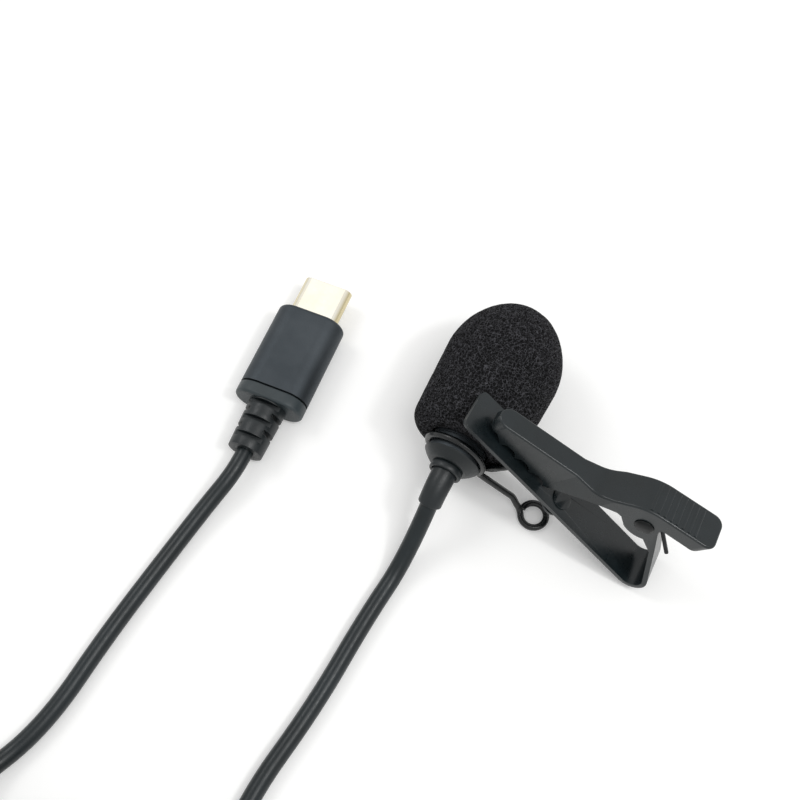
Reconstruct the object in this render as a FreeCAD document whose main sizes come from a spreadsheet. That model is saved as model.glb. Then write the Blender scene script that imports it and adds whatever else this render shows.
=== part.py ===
import FreeCAD, Part
import Sketcher
import math
import os

# Clip-on lavalier microphone with a plug-in digital connector, in millimetres, +Z up.
# It lies on a table: the microphone points along +Y, the clip leans away to +X, and the cord
# leaves along -Y, is wound into a coil and comes back to the plug on the -X side.

vec = FreeCAD.Vector
doc = FreeCAD.newDocument("LavalierMicrophone")
sheet = doc.addObject("Spreadsheet::Sheet", "Sizes")


class Size:
    """A number from the sheet together with the expression that gives it."""

    def __init__(self, value, text):
        self.value = value
        self.text = text

    def joined(self, other, sign, value):
        return Size(value, "(%s %s %s)" % (self.text, sign, textOf(other)))

    def __add__(self, other):
        return self.joined(other, "+", self.value + valueOf(other))

    def __sub__(self, other):
        return self.joined(other, "-", self.value - valueOf(other))

    def __mul__(self, other):
        return self.joined(other, "*", self.value * valueOf(other))

    def __truediv__(self, other):
        return self.joined(other, "/", self.value / valueOf(other))

    def __neg__(self):
        return Size(-self.value, "(0 - %s)" % self.text)


def valueOf(item):
    return item.value if isinstance(item, Size) else float(item)


def textOf(item):
    return item.text if isinstance(item, Size) else "(%r)" % float(item)


def sine(item):
    return Size(math.sin(math.radians(item.value)), "sin(%s)" % item.text)


def cosine(item):
    return Size(math.cos(math.radians(item.value)), "cos(%s)" % item.text)


row = 0


def size(alias, value, note):
    """Write one driving dimension into the sheet and hand it back."""
    global row
    row += 1
    sheet.set("A%d" % row, note)
    sheet.set("B%d" % row, repr(float(value)))
    sheet.setAlias("B%d" % row, alias)
    return Size(float(value), "Sizes." + alias)


# Where the microphone stands in the frame of the whole object
micX = size("micX", -14.24, "ring from the object's centre, along X")
micY = size("micY", -7.95, "ring from the object's centre, along Y")

# Windscreen
foamRadius = size("foamRadius", 9.1, "windscreen radius at its widest")
foamBase = size("foamBase", 8.5, "windscreen radius near its open end")
foamRound = size("foamRound", 2.4, "rounding of the open end")
foamStart = size("foamStart", 0.72, "open end of the windscreen, from the ring")
foamStraight = size("foamStraight", 14.23, "length of the straight side")
foamDome = size("foamDome", 10.95, "height of the dome")
crownInset = size("crownInset", 1.4, "radius of the dome's crown below the windscreen's radius")
foamGap = size("foamGap", 0.3, "gap between the foam and the housing")

# Housing and boot of the microphone
wall = size("wall", 0.5, "wall of the housing")
housingRadius = size("housingRadius", 4.25, "outer radius of the housing")
housingFront = size("housingFront", 14.5, "front end of the housing, from the ring")
housingRear = size("housingRear", 1.75, "rear end of the housing, behind the ring")
grooveDepth = size("grooveDepth", 0.2, "depth of the groove for the wire ring")
grooveSide = size("grooveSide", 0.06, "side clearance of the ring in its groove")
fit = size("fit", 0.03, "clearance of a push fit, on the radius")
bootRadius = size("bootRadius", 4.5, "radius of the boot's front edge")
bootNeck = size("bootNeck", 3.0, "radius of the boot's small end")
bootLength = size("bootLength", 1.45, "length of the boot's cone")
bootBulge = size("bootBulge", 6.5, "radius of the boot's bulging side")
bootFloor = size("bootFloor", 0.7, "thickness of the boot's closed end")
spigotLength = size("spigotLength", 2.0, "boot inside the housing")
collarRadius = size("collarRadius", 2.5, "radius of the collar")
collarLength = size("collarLength", 1.15, "length of the collar")
reliefStart = size("reliefStart", 1.95, "radius of the strain relief at the collar")
reliefEnd = size("reliefEnd", 1.78, "radius of the strain relief at its end")
reliefBend = size("reliefBend", 7.0, "bend radius of the drooping strain relief")
reliefDroop = size("reliefDroop", 40.0, "droop of the strain relief, degrees")

# Capsule
grilleFace = size("grilleFace", 0.9, "thickness of the grille's face")
grilleSkirt = size("grilleSkirt", 1.6, "depth of the grille's skirt")
grilleWall = size("grilleWall", 0.45, "wall of the grille's skirt")
portRadius = size("portRadius", 0.5, "radius of a sound port")
portCircle = size("portCircle", 2.1, "radius of the circle of ports")
meshThick = size("meshThick", 0.15, "thickness of the acoustic mesh")
canRadius = size("canRadius", 3.0, "radius of the capsule")
canLength = size("canLength", 2.7, "length of the capsule")
canWall = size("canWall", 0.2, "wall of the capsule")
canBack = size("canBack", 1.9, "capsule behind the front of the housing")
canPort = size("canPort", 0.8, "radius of the capsule's port")
layerGap = size("layerGap", 0.05, "gap between two layers of the capsule")
diaphragmThick = size("diaphragmThick", 0.2, "diaphragm on its ring")
backplateThick = size("backplateThick", 0.35, "charged backplate")
boardThick = size("boardThick", 0.5, "capsule board")
chipWidth = size("chipWidth", 1.4, "width of the impedance chip")
chipThick = size("chipThick", 0.55, "thickness of the impedance chip")
gasketLip = size("gasketLip", 0.5, "rear lip of the gasket")
leadRadius = size("leadRadius", 0.3, "radius of an inner lead")
leadSpread = size("leadSpread", 0.6, "lead from the axis")
crimpLength = size("crimpLength", 2.0, "crimp on the cord")
crimpWall = size("crimpWall", 0.45, "wall of the crimp")

# Cord and its coil
cordWidth = size("cordWidth", 2.66, "diameter of the cord")
coilPitch = size("coilPitch", 3.7, "spacing of the coil's turns in a layer")
coilRise = size("coilRise", 3.4, "spacing of the coil's layers")
coilInner = size("coilInner", 10.0, "radius of the coil's innermost turn")
coilX = size("coilX", -19.0, "centre of the coil from the ring, along X")
coilY = size("coilY", -93.7, "centre of the coil from the ring, along Y")

# Wire holder that rings the microphone
holderWire = size("holderWire", 1.0, "diameter of the holder's wire")
holderBore = size("holderBore", 4.1, "inner radius of the ring")
holderStep = size("holderStep", 1.05, "advance of the ring from end to end")
eyeX = size("eyeX", 13.87, "open eye from the ring, along X")
eyeY = size("eyeY", -0.85, "open eye from the ring, along Y")
eyeRadius = size("eyeRadius", 1.95, "radius of the open eye, on the wire's centre")
rivetEye = size("rivetEye", 1.6, "radius of the riveted eye, on the wire's centre")
eyePlay = size("eyePlay", 0.02, "gap between the riveted eye and its neighbours")
kinkBack = size("kinkBack", 4.2, "kink in the first leg from the open eye, along X")
kinkSide = size("kinkSide", 0.34, "kink in the first leg from the open eye, along Y")
kinkHeight = size("kinkHeight", 3.0, "height of the kink above the table")
ringStart = size("ringStart", -20.0, "angle where the ring starts, degrees")
ringSweep = size("ringSweep", 335.0, "angle that the ring covers, degrees")
legBend = size("legBend", 11.96, "bend of the second leg from the clip's front edge")
legBow = size("legBow", 0.35, "bow of the second leg towards the cord")

# Clip, in its own frame: X along the lower jaw, Y across it, Z up from its inner face
clipX = size("clipX", 0.75, "front edge of the jaw from the ring, along X")
clipY = size("clipY", 2.556, "front edge of the jaw from the ring, along Y")
clipSink = size("clipSink", 0.782, "jaw's front edge below the place that rests on the foam's middle")
clipSlope = size("clipSlope", 33.5, "slope of the lower jaw, degrees")
clipRoll = size("clipRoll", 11.0, "roll of the clip about X, degrees")
jawWidth = size("jawWidth", 6.54, "width of the lower jaw")
jawSheet = size("jawSheet", 0.7, "sheet of the lower jaw")
jawCorner = size("jawCorner", 0.9, "corner radius of the lower jaw")
tailBend = size("tailBend", 1.67, "inner radius of the tail bend")
strutLean = size("strutLean", 45.05, "angle between jaw and strut, degrees")
strutShort = size("strutShort", 2.6, "top of the strut below the pin")
taperStart = size("taperStart", 2.4, "height where the strut starts to taper")
taperEnd = size("taperEnd", 8.4, "height where the taper ends")
earFoot = size("earFoot", 7.0, "foot of the strut's ears below the pin")
pinAlong = size("pinAlong", 25.51, "hinge pin from the front edge")
pinHeight = size("pinHeight", 11.42, "hinge pin above the lower jaw")
pinRadius = size("pinRadius", 0.8, "radius of the hinge pin")
pinPlay = size("pinPlay", 0.04, "running clearance on the pin")
pinBehind = size("pinBehind", 1.85, "rear face of the strut behind the pin")
headRadius = size("headRadius", 1.5, "radius of the pin's head")
headCrown = size("headCrown", 1.0, "radius of the head's flat crown")
headHeight = size("headHeight", 0.35, "height of the pin's head")
leverSheet = size("leverSheet", 0.6, "sheet of the upper lever")
leverTip = size("leverTip", 2.5, "front of the upper lever")
leverEnd = size("leverEnd", 32.5, "rear end of the thumb pad")
leverWidth = size("leverWidth", 5.5, "width of the thumb pad")
noseWidth = size("noseWidth", 3.3, "width of the upper jaw")
noseCorner = size("noseCorner", 1.6, "corner radius of the upper jaw")
webEdge = size("webEdge", 0.3, "bend where the web turns down into its walls")
padCorner = size("padCorner", 1.4, "corner radius of the thumb pad")
neckBack = size("neckBack", 10.3, "end of the narrow jaw in front of the pin")
shoulderBack = size("shoulderBack", 5.3, "start of the full width in front of the pin")
blankHeight = size("blankHeight", 27.0, "height of the blank that the lever is cut from")
lobeRadius = size("lobeRadius", 3.1, "radius of the lever's ears")
toothGap = size("toothGap", 0.12, "teeth above the lower jaw")
toothRoot = size("toothRoot", 1.6, "radius of a root between two teeth")
toothFirst = size("toothFirst", 19.3, "first tooth in front of the pin")
toothPitch = size("toothPitch", 3.0, "spacing of the teeth")
lipHeight = size("lipHeight", 1.2, "lip in front of the teeth above them")
padSlope = size("padSlope", 20.0, "slope of the thumb pad, degrees")
riseSlope = size("riseSlope", 55.0, "slope of the rise, degrees")
noseSlope = size("noseSlope", 17.7, "slope of the upper jaw, degrees")
kneeRadius = size("kneeRadius", 6.5, "bend between pad and rise")
kneeAlong = size("kneeAlong", 1.39, "centre of that bend behind the pin")
kneeDrop = size("kneeDrop", 2.37, "centre of that bend below the pin")
footRadius = size("footRadius", 3.77, "bend between rise and upper jaw")
footBack = size("footBack", 9.29, "centre of that bend in front of the pin")
footRise = size("footRise", 0.28, "centre of that bend above the pin")
ribRadius = size("ribRadius", 0.34, "radius of a grip rib")
ribPitch = size("ribPitch", 0.95, "spacing of the grip ribs")
ribRise = size("ribRise", 0.1, "grip ribs above the pad")
ribFirst = size("ribFirst", 1.6, "first grip rib in front of the pad's flat part")
sideGap = size("sideGap", 0.12, "gap between the ears")
springWire = size("springWire", 0.6, "wire of the torsion spring")
springRadius = size("springRadius", 2.18, "radius of the spring, on the wire's centre")
springPlay = size("springPlay", 0.075, "gap between the spring and the strut's ears")
padReach = size("padReach", 3.9, "end of the spring's upper leg behind the pin")
padLift = size("padLift", 4.38, "end of the spring's upper leg above the pin")
springLeg = size("springLeg", 1.9, "length of the spring's lower leg")
springFoot = size("springFoot", 4.7, "length of the spring's turned-up foot")
footTurn = size("footTurn", 0.3, "size of the bend at the spring's foot")
rivetAlong = size("rivetAlong", 19.21, "holder rivet from the front edge")
rivetSide = size("rivetSide", -0.67, "holder rivet from the jaw's middle")
rivetRadius = size("rivetRadius", 1.0, "radius of the rivet's shank")
rivetTop = size("rivetTop", 1.6, "radius of the rivet's flush head")
rivetSet = size("rivetSet", 2.1, "radius of the rivet's set head")
rivetHeight = size("rivetHeight", 0.4, "height of a rivet head")

# Plug, in its own frame: Y along the plug, with the tip at Y = 0
plugX = size("plugX", -32.7, "tip of the plug from the ring, along X")
plugY = size("plugY", 18.36, "tip of the plug from the ring, along Y")
plugYaw = size("plugYaw", 5.7, "turn of the plug, degrees")
shellWidth = size("shellWidth", 8.25, "width of the metal shell")
shellHeight = size("shellHeight", 2.4, "height of the metal shell")
shellWall = size("shellWall", 0.28, "wall of the metal shell")
shellOut = size("shellOut", 6.65, "shell in front of the sleeve")
shellIn = size("shellIn", 3.6, "shell inside the sleeve")
sleeveWidth = size("sleeveWidth", 11.5, "width of the plug's sleeve")
sleeveHeight = size("sleeveHeight", 6.4, "height of the plug's sleeve")
sleeveLength = size("sleeveLength", 14.7, "length of the plug's sleeve")
sleeveWall = size("sleeveWall", 0.6, "wall of the plug's sleeve")
sleeveFace = size("sleeveFace", 0.9, "front wall of the plug's sleeve")
sleeveEdge = size("sleeveEdge", 0.7, "rounding of the sleeve's front edge")
capSeam = size("capSeam", 0.3, "seam between sleeve and end cap")
capLength = size("capLength", 2.0, "length of the plug's end cap")
capSpigot = size("capSpigot", 1.4, "spigot of the end cap")
capEdge = size("capEdge", 0.5, "rounding of the cap's rear edge")
tailLength = size("tailLength", 8.2, "length of the plug's strain relief")
tailFoot = size("tailFoot", 3.1, "radius of the strain relief at the cap")
tailTip = size("tailTip", 2.8, "radius of the strain relief at its end")
slotWidth = size("slotWidth", 0.75, "width of a slot in the strain relief")
slotPitch = size("slotPitch", 1.45, "spacing of the slots")
firstSlot = size("firstSlot", 0.94, "first slot behind the cap")
slotCore = size("slotCore", 1.8, "half height left between two slots")
tongueWidth = size("tongueWidth", 6.7, "width of the plug's inner slot")
tongueHeight = size("tongueHeight", 0.8, "height between the contacts")
mouthInset = size("mouthInset", 0.25, "insulator behind the shell's mouth")
contactPitch = size("contactPitch", 0.5, "spacing of the contacts")
contactWidth = size("contactWidth", 0.24, "width of a contact")
contactThick = size("contactThick", 0.14, "thickness of a contact")
contactInset = size("contactInset", 1.2, "contacts behind the shell's mouth")
contactTail = size("contactTail", 1.4, "contacts over the circuit board")
latchThick = size("latchThick", 0.2, "thickness of a latch spring")
latchHeight = size("latchHeight", 0.5, "height of a latch spring")
boardGap = size("boardGap", 0.3, "circuit board behind the metal shell")
circuitWidth = size("circuitWidth", 7.2, "width of the plug's circuit board")
circuitLength = size("circuitLength", 8.4, "length of the plug's circuit board")
circuitThick = size("circuitThick", 0.76, "thickness of the plug's circuit board")
audioSide = size("audioSide", 3.0, "side of the audio chip")
audioHeight = size("audioHeight", 0.75, "height of the audio chip")
mouldGap = size("mouldGap", 0.3, "gap between the inner mould and the end cap")
innerGap = size("innerGap", 0.05, "gap round the inner mould")

contactCount = 12
portCount = 6
toothCount = 4
ribCount = 8
slotCount = 5
layerCount = 4
layerHalfTurns = 6

axisHeight = foamRadius
clipZ = axisHeight + (foamRadius + jawSheet) / (cosine(clipSlope) * cosine(clipRoll)) - clipSink
cordRadius = cordWidth / 2
passage = cordRadius + fit
nodes = []


def named(item, label):
    item.Label = label
    nodes.append(item)
    return item


def place(item, x, y, z):
    for axis, part in (("x", x), ("y", y), ("z", z)):
        item.setExpression("Placement.Base." + axis, textOf(part))
    return item


def onMic(item, label):
    """Pieces of the microphone are drawn about the Y axis, with the ring at Y = 0."""
    return named(place(item, micX, micY, axisHeight), label)


def onPlug(item, label):
    """Pieces of the plug are drawn about the Y axis, with the tip at Y = 0."""
    item.setExpression("Placement.Rotation.Angle", plugYaw.text)
    return named(place(item, micX + plugX, micY + plugY, sleeveHeight / 2), label)


def onClip(item, label):
    """Pieces of the clip are drawn in the clip's own frame."""
    turns = (textOf(-clipRoll), clipSlope.text)
    rotation = "rotation(vector(1; 0; 0); %s) * rotation(vector(0; 1; 0); %s)" % turns
    base = tuple(textOf(part) for part in (micX + clipX, micY + clipY, clipZ))
    item.setExpression("Placement", "placement(vector(%s; %s; %s); %s)" % (base + (rotation,)))
    return named(item, label)


def originPlane(body, role):
    return [part for part in body.Origin.OriginFeatures if part.Role == role][0]


def newSketch(body, name, role, offset=0.0):
    sketch = body.newObject("Sketcher::SketchObject", name)
    sketch.AttachmentSupport = [(originPlane(body, role), "")]
    sketch.MapMode = "FlatFace"
    if valueOf(offset):
        sketch.setExpression("AttachmentOffset.Base.z", textOf(offset))
    return sketch


def pinPoint(sketch, geo, end, corner):
    """Hold one point of a sketch at the place that the sheet gives it."""
    for kind, level, part in (("DistanceX", "Vertical", corner[0]), ("DistanceY", "Horizontal", corner[1])):
        if isinstance(part, Size):
            index = sketch.addConstraint(Sketcher.Constraint(kind, -1, 1, geo, end, part.value))
            sketch.setExpression("Constraints[%d]" % index, part.text)
        elif part:
            sketch.addConstraint(Sketcher.Constraint(kind, -1, 1, geo, end, float(part)))
        else:
            sketch.addConstraint(Sketcher.Constraint(level, -1, 1, geo, end))


def pinRadiusOf(sketch, geo, radius):
    index = sketch.addConstraint(Sketcher.Constraint("Radius", geo, valueOf(radius)))
    if isinstance(radius, Size):
        sketch.setExpression("Constraints[%d]" % index, radius.text)


def drawCircle(sketch, x, y, radius):
    centre = vec(valueOf(x), valueOf(y), 0)
    geo = sketch.addGeometry(Part.Circle(centre, vec(0, 0, 1), valueOf(radius)), False)
    pinRadiusOf(sketch, geo, radius)
    pinPoint(sketch, geo, 3, (x, y))


def drawOutline(sketch, corners):
    """Closed outline. A corner is (x, y), reached by a line, or (x, y, radius, turn), reached by
    an arc that turns left for 1 and right for -1."""
    ends = []
    for index, corner in enumerate(corners):
        start, finish = (vec(valueOf(point[0]), valueOf(point[1]), 0)
                         for point in (corners[index - 1], corner))
        if len(corner) == 2:
            ends.append((sketch.addGeometry(Part.LineSegment(start, finish), False), 1, 2))
            continue
        radius, turn = corner[2], corner[3]
        low, high = (start, finish) if turn > 0 else (finish, start)
        chord = high - low
        reach = math.sqrt(max(valueOf(radius) ** 2 - chord.Length ** 2 / 4, 0))
        centre = (low + high) / 2 + vec(-chord.y, chord.x, 0).normalize() * reach
        circle = Part.Circle(centre, vec(0, 0, 1), valueOf(radius))
        begin, end = (math.atan2(point.y - centre.y, point.x - centre.x) for point in (low, high))
        end += 2 * math.pi if end < begin else 0
        geo = sketch.addGeometry(Part.ArcOfCircle(circle, begin, end), False)
        ends.append((geo, 1, 2) if turn > 0 else (geo, 2, 1))
        pinRadiusOf(sketch, geo, radius)
    for index, corner in enumerate(corners):
        geo, start, finish = ends[index]
        after = ends[(index + 1) % len(ends)]
        sketch.addConstraint(Sketcher.Constraint("Coincident", geo, finish, after[0], after[1]))
        pinPoint(sketch, geo, finish, corner)


def turned(label, corners):
    """A turned piece: its outline is (radius, distance along Y)."""
    body = doc.addObject("PartDesign::Body", label)
    sketch = newSketch(body, label + "Outline", "XY_Plane")
    drawOutline(sketch, corners)
    turn = body.newObject("PartDesign::Revolution", label + "Turn")
    turn.Profile = sketch
    turn.ReferenceAxis = (sketch, ["V_Axis"])
    turn.Angle = 360
    return body


def tubeY(label, inner, outer, start, finish):
    return turned(label, [(outer, start), (outer, finish), (inner, finish), (inner, start)])


def discY(label, outer, start, finish):
    return turned(label, [(outer, start), (outer, finish), (0, finish), (0, start)])


def extruded(body, kind, sketch, length, reverse=False, middle=False):
    """Pad or pocket a sketch; a length of None cuts through all that lies ahead."""
    step = body.newObject("PartDesign::" + kind, sketch.Name + kind)
    step.Profile = sketch
    if length is None:
        step.Type = 1
    else:
        step.setExpression("Length", textOf(length))
    step.Reversed = reverse
    if middle:
        step.SideType = "Symmetric"
    return step


def oval(width, height):
    """Outline with straight top and bottom and fully round sides."""
    half, bend = width / 2, height / 2
    left, right = -half + bend, half - bend
    return [(left, -bend, bend, 1), (right, -bend), (half, 0, bend, 1), (right, bend, bend, 1),
            (left, bend), (-half, 0, bend, 1)]


def ovalBar(label, width, height, start, length):
    """An oval bar along -Y, from start behind the plug's tip."""
    body = doc.addObject("PartDesign::Body", label)
    sketch = newSketch(body, label + "Bar", "XZ_Plane", start)
    drawOutline(sketch, oval(width, height))
    extruded(body, "Pad", sketch, length)
    return body


def ovalCut(body, name, width, height, start, length):
    """An oval hole that runs along -Y, from start behind the plug's tip."""
    sketch = newSketch(body, name, "XZ_Plane", start)
    drawOutline(sketch, oval(width, height))
    extruded(body, "Pocket", sketch, length, reverse=True)


def box(name, length, width, height, x, y, z):
    item = doc.addObject("Part::Box", name)
    for key, part in (("Length", length), ("Width", width), ("Height", height)):
        item.setExpression(key, textOf(part))
    return place(item, x, y, z)


def cylinderY(name, radius, length, x, y, z):
    """A cylinder along +Y that starts at x, y, z."""
    item = doc.addObject("Part::Cylinder", name)
    item.setExpression("Radius", textOf(radius))
    item.setExpression("Height", textOf(length))
    item.Placement = FreeCAD.Placement(vec(), FreeCAD.Rotation(vec(1, 0, 0), -90))
    return place(item, x, y, z)


def fused(label, items):
    item = doc.addObject("Part::MultiFuse", label)
    item.Shapes = items
    return item


def cut(label, base, tool):
    item = doc.addObject("Part::Cut", label)
    item.Base = base
    item.Tool = tool
    return item


def common(label, items):
    item = doc.addObject("Part::MultiCommon", label)
    item.Shapes = items
    return item


def gathered(label, items):
    item = doc.addObject("Part::Compound", label)
    item.Links = items
    return item


# Windscreen: an open-cell foam cap whose side widens towards a round dome
def windscreen():
    crown = foamRadius - crownInset
    side = (foamRadius * foamRadius - crown * crown + (foamDome - crown) * (foamDome - crown)) / (
        (foamRadius - crown) * 2)
    domeStart = foamStart + foamStraight
    tip = domeStart + foamDome
    sideX = foamRadius - side
    crownY = tip - crown
    reach = side - crown
    bore = housingRadius + foamGap
    boreEnd = housingFront + grilleFace + foamGap
    joinX = -sideX / reach * crown
    joinY = crownY + (crownY - domeStart) / reach * crown
    return turned("Windscreen", [
        (bore, foamStart), (foamBase - foamRound, foamStart),
        (foamBase, foamStart + foamRound, foamRound, 1),
        (foamRadius, domeStart), (joinX, joinY, side, 1), (0, tip, crown, 1),
        (0, boreEnd), (bore, boreEnd)])


# Housing tube with the groove that the wire ring turns in
def micHousing():
    inner = housingRadius - wall
    groove = housingRadius - grooveDepth
    front = holderWire / 2 + grooveSide
    rear = -holderStep - front
    return turned("MicHousing", [
        (housingRadius, -housingRear), (housingRadius, rear), (groove, rear), (groove, front),
        (housingRadius, front), (housingRadius, housingFront), (inner, housingFront),
        (inner, -housingRear)])


# Cap with the sound ports, pushed into the front of the housing
def micGrille():
    skirt = housingRadius - wall - fit
    skirtStart = housingFront - grilleSkirt
    body = turned("MicGrille", [
        (skirt, skirtStart), (skirt, housingFront), (housingRadius, housingFront),
        (housingRadius, housingFront + grilleFace), (0, housingFront + grilleFace),
        (0, housingFront), (skirt - grilleWall, housingFront), (skirt - grilleWall, skirtStart)])
    sketch = newSketch(body, "GrillePorts", "XZ_Plane", -housingFront - grilleFace - 1)
    drawCircle(sketch, 0, 0, portRadius)
    for index in range(portCount):
        angle = 2 * math.pi * index / portCount
        drawCircle(sketch, portCircle * math.cos(angle), portCircle * math.sin(angle), portRadius)
    extruded(body, "Pocket", sketch, grilleFace + 2, reverse=True)
    return body


def acousticMesh():
    radius = housingRadius - wall - fit - grilleWall - fit
    return discY("AcousticMesh", radius, housingFront - meshThick - layerGap, housingFront - layerGap)


# Capsule: an open can with its layers stacked inside
canFront = housingFront - canBack
canRear = canFront - canLength
canBore = canRadius - canWall


def capsuleCan():
    return turned("CapsuleCan", [
        (canRadius, canRear), (canRadius, canFront), (canPort, canFront),
        (canPort, canFront - canWall), (canBore, canFront - canWall), (canBore, canRear)])


diaphragmFront = canFront - canWall - layerGap
backplateFront = diaphragmFront - diaphragmThick - layerGap
boardRear = canRear + layerGap


def capsuleDiaphragm():
    return discY("CapsuleDiaphragm", canBore - fit, diaphragmFront - diaphragmThick, diaphragmFront)


def capsuleBackplate():
    return discY("CapsuleBackplate", canBore - fit, backplateFront - backplateThick, backplateFront)


def capsuleBoard():
    return discY("CapsuleBoard", canBore - fit, boardRear, boardRear + boardThick)


def impedanceChip():
    half = chipWidth / 2
    return box("ImpedanceChip", chipWidth, chipThick, chipWidth, -half, 0, -half)


def capsuleGasket():
    outer = housingRadius - wall - fit
    front = housingFront - grilleSkirt - layerGap
    rear = canRear - gasketLip
    hold = canRadius + fit
    lip = canBore - leadRadius
    return turned("CapsuleGasket", [
        (outer, rear), (outer, front), (hold, front), (hold, canRear - fit), (lip, canRear - fit),
        (lip, rear)])


# Rear boot: a domed plug with a spigot inside the housing
bootEnd = -housingRear - bootLength
bootInside = bootEnd + bootFloor


def rearBoot():
    spigot = housingRadius - wall - fit
    spigotEnd = spigotLength - housingRear
    hollow = passage + crimpWall + fit * 2
    return turned("RearBoot", [
        (passage, bootEnd), (bootNeck, bootEnd), (bootRadius, -housingRear, bootBulge, 1),
        (spigot, -housingRear), (spigot, spigotEnd), (hollow, spigotEnd), (hollow, bootInside),
        (passage, bootInside)])


def cableCrimp():
    start = bootInside + layerGap
    return tubeY("CableCrimp", passage, passage + crimpWall, start, start + crimpLength)


def bootCollar():
    return tubeY("BootCollar", reliefStart + fit, collarRadius, bootEnd - collarLength, bootEnd)


def leadWires():
    start = bootInside + layerGap + crimpLength
    length = boardRear - layerGap - start
    leads = [cylinderY("Lead%d" % (index + 1), leadRadius, length, offset, start, 0)
             for index, offset in enumerate((-leadSpread, leadSpread))]
    return gathered("LeadWires", leads)


# The strain relief droops under the cord: a straight neck in the collar, then one bend down
neckEnd = bootEnd - collarLength


def droopPoint(angle):
    """A point of the relief's middle line, a number of degrees along its bend."""
    turn = math.radians(angle)
    bend = reliefBend.value
    return vec(0, neckEnd.value - bend * math.sin(turn), -bend * (1 - math.cos(turn)))


def droopLine(start):
    """The relief's middle line, from a place along Y to its drooping end."""
    droop = reliefDroop.value
    neck = Part.LineSegment(vec(0, start, 0), vec(0, neckEnd.value, 0))
    bend = Part.Arc(droopPoint(0), droopPoint(droop / 2), droopPoint(droop))
    return Part.Wire([neck.toShape(), bend.toShape()])


def circleAt(point, heading, radius):
    return Part.Wire([Part.makeCircle(radius, point, heading)])


def droopHeading():
    angle = math.radians(reliefDroop.value)
    return vec(0, -math.cos(angle), -math.sin(angle))


def droopTube(start, first, last):
    """A tapering tube round the relief's middle line."""
    rings = [circleAt(vec(0, start, 0), vec(0, -1, 0), first),
             circleAt(droopPoint(reliefDroop.value), droopHeading(), last)]
    return droopLine(start).makePipeShell(rings, True, False)


def shaped(label, shape):
    item = doc.addObject("Part::Feature", label)
    item.Shape = shape
    return item


def micStrainRelief():
    outer = droopTube(bootEnd.value, reliefStart.value, reliefEnd.value)
    bore = droopTube(bootEnd.value, passage.value, passage.value)
    return shaped("MicStrainRelief", outer.cut(bore))


def micCordRoot():
    """The cord inside the boot, the collar and the strain relief."""
    start = (bootInside + layerGap + fit).value
    return shaped("MicCordRoot", droopTube(start, cordRadius.value, cordRadius.value))


# Curves for wires and cords
def bend(start, heading, finish):
    """The arc that leaves start along heading and ends at finish, or a straight line."""
    chord = finish - start
    half = heading.getAngle(chord)
    if half < 1e-5:
        return Part.LineSegment(start, finish).toShape()
    corner = start + heading * (chord.Length / (2 * math.cos(half)))
    middle = (start + finish) / 2
    out = (corner - middle).normalize() * (chord.Length / 2 * math.tan(half / 2))
    return Part.Arc(start, middle + out, finish).toShape()


def doubleBend(start, heading, finish, arrival):
    """Two arcs that join two points with their directions."""
    across = finish - start
    both = heading + arrival
    spread = 2 * (1 - heading.dot(arrival))
    if spread < 1e-9:
        return [Part.LineSegment(start, finish).toShape()]
    lean = across.dot(both)
    reach = (math.sqrt(lean * lean + spread * across.dot(across)) - lean) / spread
    joint = (start + finish) / 2 + (heading - arrival) * (reach / 2)
    first = bend(start, heading, joint)
    last = bend(finish, -arrival, joint)
    return [first, last]


def throughStations(stations):
    edges = []
    for (start, heading), (finish, arrival) in zip(stations, stations[1:]):
        edges += doubleBend(start, heading.normalize(), finish, arrival.normalize())
    return edges


def wireSolid(edges, start, heading, radius):
    path = Part.Wire(Part.__sortEdges__(edges))
    return path.makePipeShell([circleAt(start, heading, radius)], True, False)


def helixStation(angle, radius, along):
    """A point of a ring about the Y axis and the direction of the wire there."""
    turn = math.radians(angle)
    point = vec(radius * math.cos(turn), along, radius * math.sin(turn))
    return point, vec(-math.sin(turn), 0, math.cos(turn))


def clipPoint(x, y, z):
    """A point of the clip in the microphone's own frame."""
    tilt = FreeCAD.Rotation(vec(1, 0, 0), -clipRoll.value) * FreeCAD.Rotation(vec(0, 1, 0), clipSlope.value)
    return tilt.multVec(vec(x, y, z)) + vec(clipX.value, clipY.value, clipZ.value - axisHeight.value)


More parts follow.
